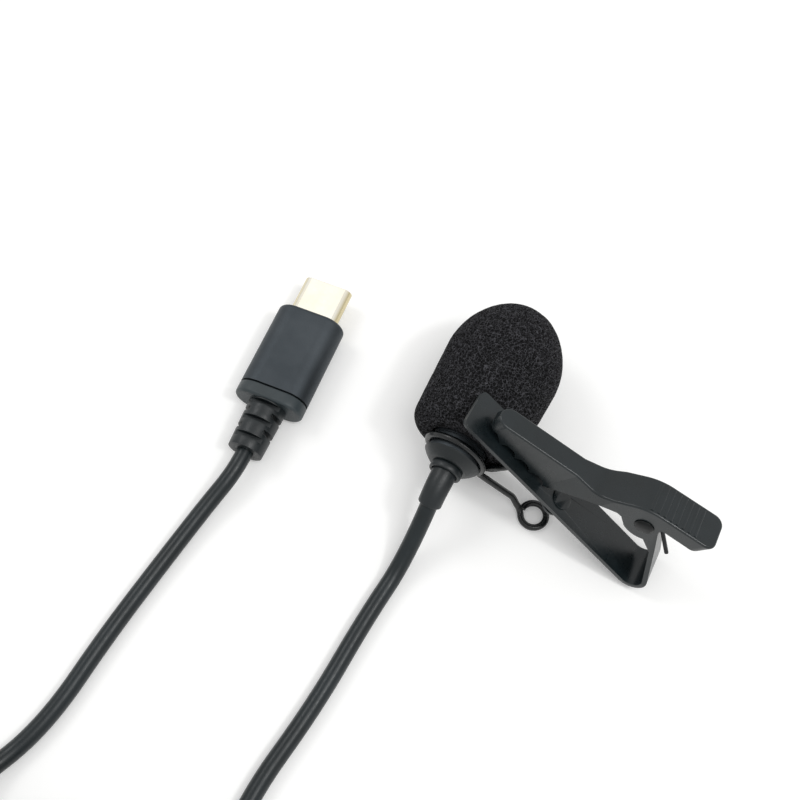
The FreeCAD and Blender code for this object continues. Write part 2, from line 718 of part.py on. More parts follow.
# One springy wire: an eye lying on the table, a leg, the ring round the microphone, a second leg
# to the clip's underside and an eye round the rivet
def ringWire():
    radius = holderBore.value + holderWire.value / 2
    wire = holderWire.value
    step = holderStep.value
    floor = wire / 2 - axisHeight.value
    stations = []
    eye = vec(eyeX.value, eyeY.value, floor)
    openEye = []
    for angle in (174, 96, 18, -52, -152):
        turn = math.radians(angle)
        point = eye + vec(math.cos(turn), math.sin(turn), 0) * eyeRadius.value
        openEye.append((point, vec(math.sin(turn), -math.cos(turn), 0)))
    stations += openEye
    entry, entryHeading = helixStation(ringStart.value, radius, -step)
    kink = vec(eyeX.value - kinkBack.value, eyeY.value + kinkSide.value,
               kinkHeight.value - axisHeight.value)
    elbow = entry - entryHeading * 0.7
    rise = (elbow - kink).normalize()
    drop = (kink - openEye[-1][0]).normalize()
    stations.append((kink - (rise + drop).normalize() * 0.8, drop))
    stations.append((kink + rise * 1.2, vec(rise)))
    stations.append((elbow - rise * 0.7, vec(rise)))
    sweep = ringSweep.value
    for quarter in range(5):
        share = quarter / 4
        point, heading = helixStation(ringStart.value + sweep * share, radius, -step * (1 - share))
        slant = step / (radius * math.radians(sweep))
        stations.append((point, vec(heading.x, slant if quarter not in (0, 4) else 0, heading.z)))
    ringEnd = stations[-1][0]
    under = -jawSheet.value - wire / 2 - eyePlay.value
    legStart = vec(legBend.value, 0, 0)
    bendCorner = clipPoint(legStart.x, 0, under)
    side = rivetSide.value
    eyeSize = rivetEye.value
    toEye = vec(rivetAlong.value, side, 0) - legStart
    lean = math.atan2(toEye.y, toEye.x) + math.asin(eyeSize / toEye.Length)
    away = clipPoint(legStart.x + math.cos(lean), math.sin(lean), under) - bendCorner
    middle = (ringEnd + bendCorner) / 2 - vec(0, legBow.value, 0)
    climb = (bendCorner - middle).normalize()
    stations.append((middle, vec(0.7071, 0.06, 0.7071)))
    stations.append((bendCorner - climb * 1.0, vec(climb)))
    stations.append((bendCorner + away * 1.0, vec(away)))
    for angle in (0, -90, -180, -270):
        turn = lean + math.pi / 2 + math.radians(angle)
        point = (rivetAlong.value + eyeSize * math.cos(turn), side + eyeSize * math.sin(turn))
        ahead = (math.sin(turn), -math.cos(turn))
        base = clipPoint(point[0], point[1], under)
        stations.append((base, clipPoint(point[0] + ahead[0], point[1] + ahead[1], under) - base))
    edges = throughStations(stations)
    return shaped("RingWire", wireSolid(edges, stations[0][0], stations[0][1], wire / 2))


# Lower jaw: one strip with its tail folded back into a leaning strut, and two ears for the pin
leanSine = sine(strutLean)
leanCosine = cosine(strutLean)
tailX = pinAlong + (pinBehind - tailBend - jawSheet + (pinHeight - tailBend) * leanCosine) / leanSine
earOuter = leverWidth / 2 - leverSheet - sideGap
earInner = earOuter - jawSheet


def onStrut(behind, above):
    """A point of the clip's side view, measured from the pin across and along the strut."""
    return (pinAlong + leanSine * behind - leanCosine * above,
            pinHeight + leanCosine * behind + leanSine * above)


def lowerJaw():
    body = doc.addObject("PartDesign::Body", "LowerJaw")
    rear, front = pinBehind, pinBehind - jawSheet
    outerFold = tailBend + jawSheet
    foldedOut = (tailX + outerFold * leanSine, tailBend + outerFold * leanCosine)
    foldedIn = (tailX + tailBend * leanSine, tailBend + tailBend * leanCosine)
    strip = newSketch(body, "Strip", "XZ_Plane")
    drawOutline(strip, [
        (0, -jawSheet), (tailX, -jawSheet), foldedOut + (outerFold, 1), onStrut(rear, -strutShort),
        onStrut(front, -strutShort), foldedIn, (tailX, 0, tailBend, -1), (0, 0)])
    extruded(body, "Pad", strip, jawWidth, middle=True)
    taper = newSketch(body, "Taper", "YZ_Plane")
    outside = jawWidth / 2
    for hand in (1, -1):
        drawOutline(taper, [
            (outside * hand, taperStart), ((outside + 1) * hand, taperStart),
            ((outside + 1) * hand, pinHeight), (earOuter * hand, pinHeight), (earOuter * hand, taperEnd)])
    extruded(body, "Pocket", taper, None, reverse=True)
    for name, start in (("NearEar", earInner), ("FarEar", -earOuter)):
        ear = newSketch(body, name, "XZ_Plane", start)
        drawOutline(ear, [
            onStrut(front, -earFoot), onStrut(rear, -earFoot), onStrut(rear, 0),
            onStrut(0, rear) + (rear, 1), onStrut(-rear, 0) + (rear, 1)])
        extruded(body, "Pad", ear, jawSheet)
    bore = newSketch(body, "PinHole", "XZ_Plane")
    drawCircle(bore, pinAlong, pinHeight, pinRadius + fit)
    extruded(body, "Pocket", bore, jawWidth, middle=True)
    rivet = newSketch(body, "RivetHole", "XY_Plane")
    drawCircle(rivet, rivetAlong, rivetSide, rivetRadius + fit)
    extruded(body, "Pocket", rivet, jawSheet + 1)
    doc.recompute()
    corners = ["Edge%d" % (index + 1) for index, edge in enumerate(body.Tip.Shape.Edges)
               if all(abs(vertex.X) < 1e-6 for vertex in edge.Vertexes)
               and abs(edge.Vertexes[0].Y - edge.Vertexes[-1].Y) < 1e-6]
    rounding = body.newObject("PartDesign::Fillet", "JawCorners")
    rounding.Base = (body.getObject("RivetHolePocket"), corners)
    rounding.setExpression("Radius", jawCorner.text)
    return body


# Upper lever: a channel pressed from one sheet, with teeth at the front, ears at the pin and a
# ribbed thumb pad at the rear
def webLine(inset):
    """Top of the lever's side view, from the pad to the nose, set in by the sheet or by nothing."""
    knee = (pinAlong + kneeAlong, pinHeight - kneeDrop)
    foot = (pinAlong - footBack, pinHeight + footRise)
    points = []
    for centre, radius, slopes in ((knee, kneeRadius - inset, (padSlope, riseSlope)),
                                   (foot, -footRadius - inset, (riseSlope, noseSlope))):
        for slope in slopes:
            points.append((centre[0] - radius * sine(slope), centre[1] + radius * cosine(slope)))
    padEnd, tip = leverEnd - inset, leverTip + inset
    rear = (padEnd, points[0][1] + (padEnd - points[0][0]) * sine(padSlope) / cosine(padSlope))
    nose = (tip, points[3][1] - (points[3][0] - tip) * sine(noseSlope) / cosine(noseSlope))
    return [rear, points[0], points[1] + (kneeRadius - inset, 1), points[2],
            points[3] + (footRadius + inset, -1), nose]


def planOutline(inset):
    """The lever seen from above, set in by the sheet or by nothing."""
    nose, pad = noseWidth / 2 - inset, leverWidth / 2 - inset
    front, rear = leverTip + inset, leverEnd - inset
    small, large = noseCorner - inset, padCorner - inset
    neck, shoulder = pinAlong - neckBack, pinAlong - shoulderBack
    return [(front + small, -nose, small, 1), (neck, -nose), (shoulder, -pad), (rear - large, -pad),
            (rear, large - pad, large, 1), (rear, pad - large), (rear - large, pad, large, 1),
            (shoulder, pad), (neck, nose), (front + small, nose), (front, nose - small, small, 1),
            (front, small - nose)]


def webRim(shape):
    """Names of the edges round the lever's web, each between its top and a wall."""
    tops = []
    for face in shape.Faces:
        left, right, low, high = face.ParameterRange
        if face.normalAt((left + right) / 2, (low + high) / 2).z > 0.55:
            tops.append(face)
    return ["Edge%d" % (index + 1) for index, edge in enumerate(shape.Edges)
            if sum(edge.isSame(other) for face in tops for other in face.Edges) == 1]


def profileBody(name, role, corners, offset, length, middle):
    body = doc.addObject("PartDesign::Body", name)
    sketch = newSketch(body, name + "Outline", role, offset)
    drawOutline(sketch, corners)
    extruded(body, "Pad", sketch, length, middle=middle)
    return body


def ribCentre(padStart, along):
    """Centre of a rib, a distance behind the place where the pad's flat part starts."""
    before = Size(max(-along.value, 0), "max(0; 0 - %s)" % along.text)
    behind = Size(max(along.value, 0), "max(0; %s)" % along.text)
    slope = padSlope + before / kneeRadius * (180 / math.pi)
    reach = kneeRadius - ribRadius + ribRise
    if along.value > 0:
        return (padStart[0] + behind * cosine(padSlope) + (ribRadius - ribRise) * sine(padSlope),
                padStart[1] + behind * sine(padSlope) - (ribRadius - ribRise) * cosine(padSlope))
    return (pinAlong + kneeAlong - reach * sine(slope), pinHeight - kneeDrop + reach * cosine(slope))


def upperLever():
    top = webLine(0)
    lobeFront = (pinAlong - 1.0, pinHeight - 2.934)
    lobeLow = (pinAlong + 0.9, pinHeight - 2.966)
    lobeRear = (pinAlong + 2.92, pinHeight - 1.04)
    scale = lobeRadius / 3.1
    lobe = [(pinAlong + (point[0] - pinAlong) * scale, pinHeight + (point[1] - pinHeight) * scale)
            for point in (lobeFront, lobeLow, lobeRear)]
    tips = [pinAlong - toothFirst + toothPitch * index for index in range(toothCount)]
    lip = toothGap + lipHeight
    outline = [(leverTip + 0.4, lip), (tips[0] - toothRoot, lip), (tips[0], toothGap)]
    for tip in tips[1:]:
        outline.append((tip, toothGap, toothRoot, -1))
    outline += [(pinAlong - 7.2, pinHeight - 6.4), (pinAlong - 5.4, pinHeight - 3.8),
                (pinAlong - 3.4, pinHeight - 2.1), (pinAlong - 2.6, pinHeight - 2.0), lobe[0],
                lobe[1] + (lobeRadius, 1), lobe[2] + (lobeRadius, 1), (pinAlong + 1.7, pinHeight + 0.9),
                (pinAlong + 1.5, pinHeight + 2.0), (pinAlong + 5.6, pinHeight + 3.4),
                (leverEnd, pinHeight + 5.0, 2.0, 1)] + top
    depth = leverWidth + 1
    blank = profileBody("LeverBlank", "XZ_Plane", outline, 0, depth, True)
    trim = newSketch(blank, "LeverTrim", "XY_Plane", -1)
    drawOutline(trim, planOutline(0))
    drawOutline(trim, [(leverTip - 1, -depth), (leverEnd + 1, -depth), (leverEnd + 1, depth),
                       (leverTip - 1, depth)])
    extruded(blank, "Pocket", trim, None, reverse=True)
    doc.recompute()
    edge = blank.newObject("PartDesign::Fillet", "WebEdge")
    edge.Base = (blank.getObject("LeverTrimPocket"), webRim(blank.getObject("LeverTrimPocket").Shape))
    edge.setExpression("Radius", webEdge.text)
    inner = webLine(leverSheet)
    below = -toothGap - 1
    hollow = [(inner[-1][0], below), (inner[0][0], below)] + inner
    sideHollow = profileBody("HollowSide", "XZ_Plane", hollow, 0, depth, True)
    planHollow = profileBody("HollowPlan", "XY_Plane", planOutline(leverSheet), -2, blankHeight, False)
    channel = cut("LeverChannel", blank, common("LeverHollow", [sideHollow, planHollow]))
    ribs = []
    length = leverWidth - 0.9
    for index in range(ribCount):
        x, z = ribCentre(top[1], ribPitch * index - ribFirst)
        ribs.append(cylinderY("Rib%d" % (index + 1), ribRadius, length, x, -length / 2, z))
    ribbed = fused("LeverRibbed", [channel] + ribs)
    pinBore = cylinderY("LeverBore", pinRadius + pinPlay, depth, pinAlong, -depth / 2, pinHeight)
    return cut("UpperLever", ribbed, pinBore)


def hingePin():
    half = leverWidth / 2 + sideGap / 2
    shank = cylinderY("PinShank", pinRadius, half * 2, pinAlong, -half, pinHeight)
    heads = []
    for name, hand in (("PinHead", -1), ("PinPeened", 1)):
        head = doc.addObject("Part::Cone", name)
        for key, part in (("Radius1", headRadius), ("Radius2", headCrown), ("Height", headHeight)):
            head.setExpression(key, part.text)
        head.Placement = FreeCAD.Placement(vec(), FreeCAD.Rotation(vec(1, 0, 0), -90 * hand))
        heads.append(place(head, pinAlong, half * hand, pinHeight))
    return fused("HingePin", [shank] + heads)


# Torsion spring round the pin: one leg lies along the strut, the other lifts the thumb pad
def torsionSpring():
    radius, wire = springRadius.value, springWire.value
    pin = vec(pinAlong.value, 0, pinHeight.value)
    lean = math.radians(strutLean.value)
    endAngle = 90 - strutLean.value
    padPoint = vec(padReach.value, 0, padLift.value)
    reach = math.sqrt(padPoint.Length ** 2 - radius ** 2)
    startAngle = math.degrees(math.atan2(padPoint.z, padPoint.x) - math.acos(radius / padPoint.Length))
    total = 360 + startAngle - (endAngle - 360)
    width = 2 * (earInner.value - springPlay.value) - wire

    def coilStation(share):
        turn = math.radians(startAngle - total * share)
        point = vec(radius * math.cos(turn), width * (0.5 - share), radius * math.sin(turn))
        slant = 0 if share in (0, 1) else -width / (radius * math.radians(total))
        return pin + point, vec(math.sin(turn), slant, -math.cos(turn))

    lifted = vec(math.cos(lean - 0.23), 0, -math.sin(lean - 0.23))
    first, heading = coilStation(0)
    last, leaving = coilStation(1)
    stations = [(first - heading * reach, vec(heading))]
    quarters = 8
    stations += [coilStation(index / quarters) for index in range(quarters + 1)]
    legTurn = last + leaving * springLeg.value
    footStart = legTurn + (leaving + lifted) * footTurn.value
    stations += [(legTurn, vec(leaving)), (footStart, vec(lifted)),
                 (footStart + lifted * springFoot.value, vec(lifted))]
    edges = throughStations(stations)
    return shaped("TorsionSpring", wireSolid(edges, stations[0][0], stations[0][1], wire / 2))


def holderRivet():
    under = jawSheet + holderWire + eyePlay * 2
    pieces = []
    for name, radius, low, height in (("RivetShank", rivetRadius, -under, under),
                                      ("RivetFlush", rivetTop, 0, rivetHeight / 2),
                                      ("RivetSet", rivetSet, -under - rivetHeight, rivetHeight)):
        item = doc.addObject("Part::Cylinder", name)
        item.setExpression("Radius", radius.text)
        item.setExpression("Height", height.text)
        pieces.append(place(item, rivetAlong, rivetSide, low))
    return fused("HolderRivet", pieces)


# Plug
shellEnd = shellOut + shellIn
boreWidth = shellWidth - shellWall * 2
boreHeight = shellHeight - shellWall * 2
sleeveEnd = shellOut + sleeveLength
capStart = sleeveEnd + capSeam
capEnd = capStart + capLength
tailEnd = capEnd + tailLength
boardStart = shellEnd + boardGap
boardEnd = boardStart + circuitLength
cavityWidth = sleeveWidth - sleeveWall * 2
cavityHeight = sleeveHeight - sleeveWall * 2


def plugShell():
    body = ovalBar("PlugShell", shellWidth, shellHeight, 0, shellEnd)
    ovalCut(body, "ShellBore", boreWidth, boreHeight, 0, None)
    return body


def plugInsulator():
    slot = tongueHeight + contactThick * 2 + fit * 2
    body = ovalBar("PlugInsulator", boreWidth - fit * 2, boreHeight - fit * 2, mouthInset,
                   shellEnd - mouthInset)
    latchSlot = tongueWidth + latchThick * 2 + fit * 4
    for name, width, height in (("TongueSlot", tongueWidth, slot),
                                ("LatchSlot", latchSlot, latchHeight + fit * 2)):
        sketch = newSketch(body, name, "XZ_Plane")
        x, z = width / 2, height / 2
        drawOutline(sketch, [(-x, -z), (x, -z), (x, z), (-x, z)])
        extruded(body, "Pocket", sketch, None, reverse=True)
    return body


def plugContacts(label, side):
    """A row of contact springs on one face of the slot, side 1 above and -1 below."""
    length = boardStart + contactTail - contactInset
    low = tongueHeight / 2 if side > 0 else -tongueHeight / 2 - contactThick
    middle = (contactCount - 1) / 2
    row = [box("%s%d" % (label, index + 1), contactWidth, length, contactThick,
               contactPitch * (index - middle) - contactWidth / 2, -contactInset - length, low)
           for index in range(contactCount)]
    return gathered(label, row)


def plugLatches():
    length = shellEnd - contactInset
    low = -latchHeight / 2
    inside = tongueWidth / 2 + fit
    pair = [box(name, latchThick, length, latchHeight, x, -shellEnd, low)
            for name, x in (("LeftLatch", -inside - latchThick), ("RightLatch", inside))]
    return gathered("PlugLatches", pair)


def plugCircuitBoard():
    return box("PlugCircuitBoard", circuitWidth, circuitLength, circuitThick, 0, 0, 0)


def plugInnerMould():
    start = shellOut + sleeveFace + innerGap
    end = capStart - capSpigot - mouldGap
    body = ovalBar("PlugInnerMould", cavityWidth - innerGap * 2, cavityHeight - innerGap * 2, start,
                   end - start)
    ovalCut(body, "ShellSeat", shellWidth + innerGap * 2, shellHeight + innerGap * 2, start,
            shellEnd - start + innerGap)
    board = newSketch(body, "BoardSeat", "XZ_Plane", start)
    x = circuitWidth / 2 + innerGap
    low, high = -shellHeight / 2, shellHeight / 2 + innerGap
    drawOutline(board, [(-x, low), (x, low), (x, high), (-x, high)])
    extruded(body, "Pocket", board, boardEnd + innerGap - start, reverse=True)
    hole = newSketch(body, "MouldHole", "XZ_Plane", start)
    drawCircle(hole, 0, 0, passage)
    extruded(body, "Pocket", hole, None, reverse=True)
    return body


def roundedEnd(body, name, along, radius):
    """Round the outer edges of the end face that lies at a distance behind the plug's tip."""
    doc.recompute()
    height = valueOf(sleeveHeight) / 2
    tip = body.Tip
    edges = ["Edge%d" % (index + 1) for index, edge in enumerate(tip.Shape.Edges)
             if abs(edge.BoundBox.YMin + along.value) < 1e-4 and abs(edge.BoundBox.YMax + along.value) < 1e-4
             and max(abs(edge.BoundBox.ZMin), abs(edge.BoundBox.ZMax)) > height - 1e-4]
    rounding = body.newObject("PartDesign::Fillet", name)
    rounding.Base = (tip, edges)
    rounding.setExpression("Radius", radius.text)


def plugSleeve():
    body = ovalBar("PlugSleeve", sleeveWidth, sleeveHeight, shellOut, sleeveLength)
    roundedEnd(body, "SleeveEdge", shellOut, sleeveEdge)
    ovalCut(body, "SleeveCavity", cavityWidth, cavityHeight, shellOut + sleeveFace, None)
    ovalCut(body, "SleeveMouth", shellWidth + fit * 2, shellHeight + fit * 2, shellOut - 1, None)
    return body


def plugEndCap():
    body = ovalBar("PlugEndCap", sleeveWidth, sleeveHeight, capStart, capLength)
    roundedEnd(body, "CapEdge", capEnd, capEdge)
    spigot = newSketch(body, "CapSpigot", "XZ_Plane", sleeveEnd - capSpigot + capSeam)
    drawOutline(spigot, oval(cavityWidth - fit * 2, cavityHeight - fit * 2))
    extruded(body, "Pad", spigot, capSpigot)
    hole = newSketch(body, "CapHole", "XZ_Plane", sleeveEnd - capSpigot)
    drawCircle(hole, 0, 0, passage)
    extruded(body, "Pocket", hole, None, reverse=True)
    return body


def plugStrainRelief():
    cone = turned("TailCone", [(passage, -tailEnd), (tailTip, -tailEnd), (tailFoot, -capEnd),
                               (passage, -capEnd)])
    slots = []
    reach = tailFoot + 0.2
    for index in range(slotCount):
        along = -capEnd - firstSlot - slotPitch * index
        for hand in (1, -1):
            start = slotCore if hand > 0 else -reach
            across, other = (reach - slotCore, reach * 2)
            if index % 2:
                slot = box("Slot%d" % (len(slots) + 1), across, slotWidth, other, start, along, -reach)
            else:
                slot = box("Slot%d" % (len(slots) + 1), other, slotWidth, across, -reach, along, start)
            slots.append(slot)
    return cut("PlugStrainRelief", cone, fused("TailSlots", slots))


def plugCordRoot():
    return cylinderY("PlugCordRoot", cordRadius, tailEnd - boardEnd - innerGap - fit, 0, 0, 0)


# Free cord: the route's points are chosen by hand, measured from the ring, on the table
restHeight = cordRadius.value
reliefTip = droopPoint(reliefDroop.value) + vec(0, 0, axisHeight.value)
landing = reliefTip + droopHeading() * ((restHeight - reliefTip.z) / droopHeading().z)
coilTurns = layerCount * layerHalfTurns + layerCount - 1
coilOuter = coilInner.value + coilPitch.value * layerHalfTurns / 2
coilCentre = vec(coilX.value, coilY.value, 0)
coilLead = cordWidth.value
coilTop = restHeight + coilRise.value * (layerCount - 1)
coilIn = coilCentre + vec(coilOuter, coilLead, restHeight)
coilOut = coilCentre + vec(-coilOuter, coilLead, coilTop)
plugHeading = vec(math.sin(math.radians(plugYaw.value)), -math.cos(math.radians(plugYaw.value)), 0)
tailTipPoint = vec(plugX.value, plugY.value, sleeveHeight.value / 2) + plugHeading * tailEnd.value

micRoute = [reliefTip, landing, (-1.0, -26.8), (-1.35, -41.0), (-3.4, -56.5), (-1.2, -72.0),
            (coilIn.x, coilIn.y + 8.5), coilIn]
plugRoute = [tailTipPoint, tailTipPoint + plugHeading * 3.5, (-30.4, -22.8, 2.0), (-31.6, -33.0),
             (-32.7, -46.3), (-33.0, -60.0), (-36.2, -69.6), (coilOut.x, coilOut.y + 9.0, coilTop), coilOut]


def routePoint(item):
    if isinstance(item, vec):
        return vec(item)
    return vec(item[0], item[1], item[2] if len(item) == 3 else restHeight)


def routeEdges(points, note):
    """Straight runs joined by tangent arcs as large as the runs allow."""
    edges, radii = [], []
    leave = points[0]
    for before, here, after in zip(points, points[1:], points[2:]):
        inward, outward = (here - before).normalize(), (after - here).normalize()
        half = inward.getAngle(outward) / 2
        trim = 0.45 * min((here - before).Length, (after - here).Length)
        radii.append(trim / math.tan(half))
        start, finish = here - inward * trim, here + outward * trim
        edges.append(Part.LineSegment(leave, start).toShape())
        edges.append(bend(start, inward, finish))
        leave = finish
    edges.append(Part.LineSegment(leave, points[-1]).toShape())
    print(note, "bend radii", [round(radius, 1) for radius in radii])
    return edges


def cordTube(label, route):
    points = [routePoint(item) for item in route]
    edges = routeEdges(points, label)
    solid = wireSolid(edges, points[0], (points[1] - points[0]).normalize(), cordRadius.value)
    length = sum(edge.Length for edge in edges)
    print(label, "length", round(length, 1), "volume over section times length",
          round(solid.Volume / (math.pi * cordRadius.value ** 2 * length), 5))
    return shaped(label, solid), length


def coilStations():
    """Ends of the coil's half turns: in and out again, climbing a layer at each reversal."""
    radius, height = coilOuter, restHeight
    stations = [(coilCentre + vec(radius, 0, height), vec(0, -1, 0))]
    halfTurn = 0
    for layer in range(layerCount):
        inwards = -1 if layer % 2 == 0 else 1
        moves = [(inwards * coilPitch.value / 2, 0)] * layerHalfTurns
        if layer < layerCount - 1:
            moves.append((0, coilRise.value))
        for step, climb in moves:
            radius += step
            height += climb
            halfTurn += 1
            side = -1 if halfTurn % 2 else 1
            stations.append((coilCentre + vec(side * radius, 0, height), vec(0, -side, 0)))
    return stations


def leastGap(edges, width):
    """The least gap between stretches of a wound tube that are over a few diameters apart."""
    path = Part.Wire(Part.__sortEdges__(edges))
    spacing = width / 2
    points = path.discretize(Distance=spacing)
    apart = int(4 * width / spacing)
    cells = {}
    for index, point in enumerate(points):
        key = tuple(int(math.floor(part / (2 * width))) for part in point)
        cells.setdefault(key, []).append(index)
    least = 10 * width
    for key, members in cells.items():
        near = [other for x in (-1, 0, 1) for y in (-1, 0, 1) for z in (-1, 0, 1)
                for other in cells.get((key[0] + x, key[1] + y, key[2] + z), [])]
        for index in members:
            for other in near:
                if other - index > apart:
                    least = min(least, (points[index] - points[other]).Length)
    return least - width


def cordCoil():
    stations = coilStations()
    last = stations[-1][0]
    edges = [Part.LineSegment(coilIn, stations[0][0]).toShape()]
    edges += throughStations(stations)
    edges.append(Part.LineSegment(last, coilOut).toShape())
    solid = wireSolid(edges, coilIn, vec(0, -1, 0), cordRadius.value)
    length = sum(edge.Length for edge in edges)
    print("CordCoil half turns", coilTurns, "least gap", round(leastGap(edges, cordWidth.value), 3),
          "volume over section times length",
          round(solid.Volume / (math.pi * cordRadius.value ** 2 * length), 5))
    return shaped("CordCoil", solid), length


def laidOut(item, label):
    item.Placement = FreeCAD.Placement(vec(micX.value, micY.value, 0), FreeCAD.Rotation())
    return named(item, label)


def assemble():
    onMic(windscreen(), "windscreen")
    onMic(micHousing(), "mic_housing")
    onMic(micGrille(), "mic_grille")
    onMic(acousticMesh(), "acoustic_mesh")
    onMic(capsuleCan(), "capsule_can")
    onMic(capsuleDiaphragm(), "capsule_diaphragm")
    onMic(capsuleBackplate(), "capsule_backplate")
    onMic(capsuleBoard(), "capsule_board")
    chip = named(impedanceChip(), "impedance_chip")
    place(chip, micX - chipWidth / 2, micY + boardRear + boardThick + fit, axisHeight - chipWidth / 2)
    onMic(capsuleGasket(), "capsule_gasket")
    onMic(leadWires(), "lead_wires")
    onMic(cableCrimp(), "cable_crimp")
    onMic(micCordRoot(), "mic_cord_root")
    onMic(rearBoot(), "rear_boot")
    onMic(bootCollar(), "boot_collar")
    onMic(micStrainRelief(), "mic_strain_relief")
    onMic(ringWire(), "ring_wire")
    onClip(lowerJaw(), "lower_jaw")
    onClip(upperLever(), "upper_lever")
    onClip(hingePin(), "hinge_pin")
    onClip(torsionSpring(), "torsion_spring")
    onClip(holderRivet(), "holder_rivet")
    onPlug(plugShell(), "plug_shell")
    onPlug(plugInsulator(), "plug_insulator")
    onPlug(plugContacts("ContactsTop", 1), "plug_contacts_top")
    onPlug(plugContacts("ContactsBottom", -1), "plug_contacts_bottom")
    onPlug(plugLatches(), "plug_latches")
    board = plugCircuitBoard()
    place(board, -circuitWidth / 2, -boardEnd, -circuitThick / 2)
    onPlug(gathered("BoardGroup", [board]), "plug_circuit_board")
    chip = box("AudioChip", audioSide, audioSide, audioHeight, -audioSide / 2,
               -boardEnd + circuitLength / 4, circuitThick / 2 + fit)
    onPlug(gathered("ChipGroup", [chip]), "audio_chip")
    onPlug(plugInnerMould(), "plug_inner_mould")
    onPlug(plugSleeve(), "plug_sleeve")
    onPlug(plugEndCap(), "plug_end_cap")
    onPlug(plugStrainRelief(), "plug_strain_relief")
    root = plugCordRoot()
    place(root, 0, -tailEnd, 0)
    onPlug(gathered("RootGroup", [root]), "plug_cord_root")
    total = 0.0
    for name, route in (("cord_mic_run", micRoute), ("cord_plug_run", plugRoute)):
        item, length = cordTube(name, route)
        laidOut(item, name)
        total += length
    item, length = cordCoil()
    laidOut(item, "cord_coil")
    print("whole cord", round(total + length, 1))


assemble()
doc.recompute()

os.makedirs("parts", exist_ok=True)
for item in doc.Objects:
    if "Invalid" in item.State or "Error" in item.State:
        raise RuntimeError("%s is %s" % (item.Label, item.State))
for node in nodes:
    if node.Shape.isNull() or not node.Shape.isValid():
        raise RuntimeError("%s has no valid shape" % node.Label)
for node in nodes:
    node.Shape.exportStep("parts/%s.step" % node.Label)
print(len(nodes), "nodes written")
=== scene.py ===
import math

import bmesh
import bpy
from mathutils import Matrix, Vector


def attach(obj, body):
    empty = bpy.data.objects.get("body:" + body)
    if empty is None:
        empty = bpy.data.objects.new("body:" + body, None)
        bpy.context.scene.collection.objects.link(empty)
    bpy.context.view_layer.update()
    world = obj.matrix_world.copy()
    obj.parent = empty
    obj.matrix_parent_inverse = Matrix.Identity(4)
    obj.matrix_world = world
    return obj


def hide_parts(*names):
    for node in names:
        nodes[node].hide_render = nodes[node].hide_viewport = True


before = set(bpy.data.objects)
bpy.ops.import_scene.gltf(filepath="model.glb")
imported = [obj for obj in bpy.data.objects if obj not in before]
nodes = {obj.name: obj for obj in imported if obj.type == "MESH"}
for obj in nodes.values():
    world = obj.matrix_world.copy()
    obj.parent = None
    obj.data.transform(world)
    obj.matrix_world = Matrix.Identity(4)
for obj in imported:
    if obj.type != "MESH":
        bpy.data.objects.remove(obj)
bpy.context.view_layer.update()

# Lavalier microphone on a white table. Lengths are in millimetres times mm, the cord's route in metres.
mm = 0.001
scene = bpy.context.scene
scene.view_settings.view_transform = "Standard"


def linear(hexColour):
    parts = [int(hexColour[i:i + 2], 16) / 255 for i in (1, 3, 5)]
    return tuple(p / 12.92 if p <= 0.04045 else ((p + 0.055) / 1.055) ** 2.4 for p in parts) + (1.0,)


def addNode(tree, kind, inputs=None, **settings):
    node = tree.nodes.new(kind)
    for name, value in settings.items():
        setattr(node, name, value)
    for name, value in (inputs or {}).items():
        if isinstance(value, bpy.types.NodeSocket):
            tree.links.new(value, node.inputs[name])
        else:
            node.inputs[name].default_value = value
    return node


def addObject(name, data):
    item = bpy.data.objects.new(name, data)
    scene.collection.objects.link(item)
    return item


# ---- camera ----
viewpoint = {"place": (4.65, -61.49, 145.92), "tilt": 25.15, "pan": 28.0, "lens": 45.0}

cameraData = bpy.data.cameras.new("tableCamera")
cameraData.lens = viewpoint["lens"]
cameraData.clip_start = 0.01
camera = addObject("tableCamera", cameraData)
camera.location = [part * mm for part in viewpoint["place"]]
camera.rotation_euler = (math.radians(viewpoint["tilt"]), 0, math.radians(viewpoint["pan"]))
scene.camera = camera
print("camera placed")

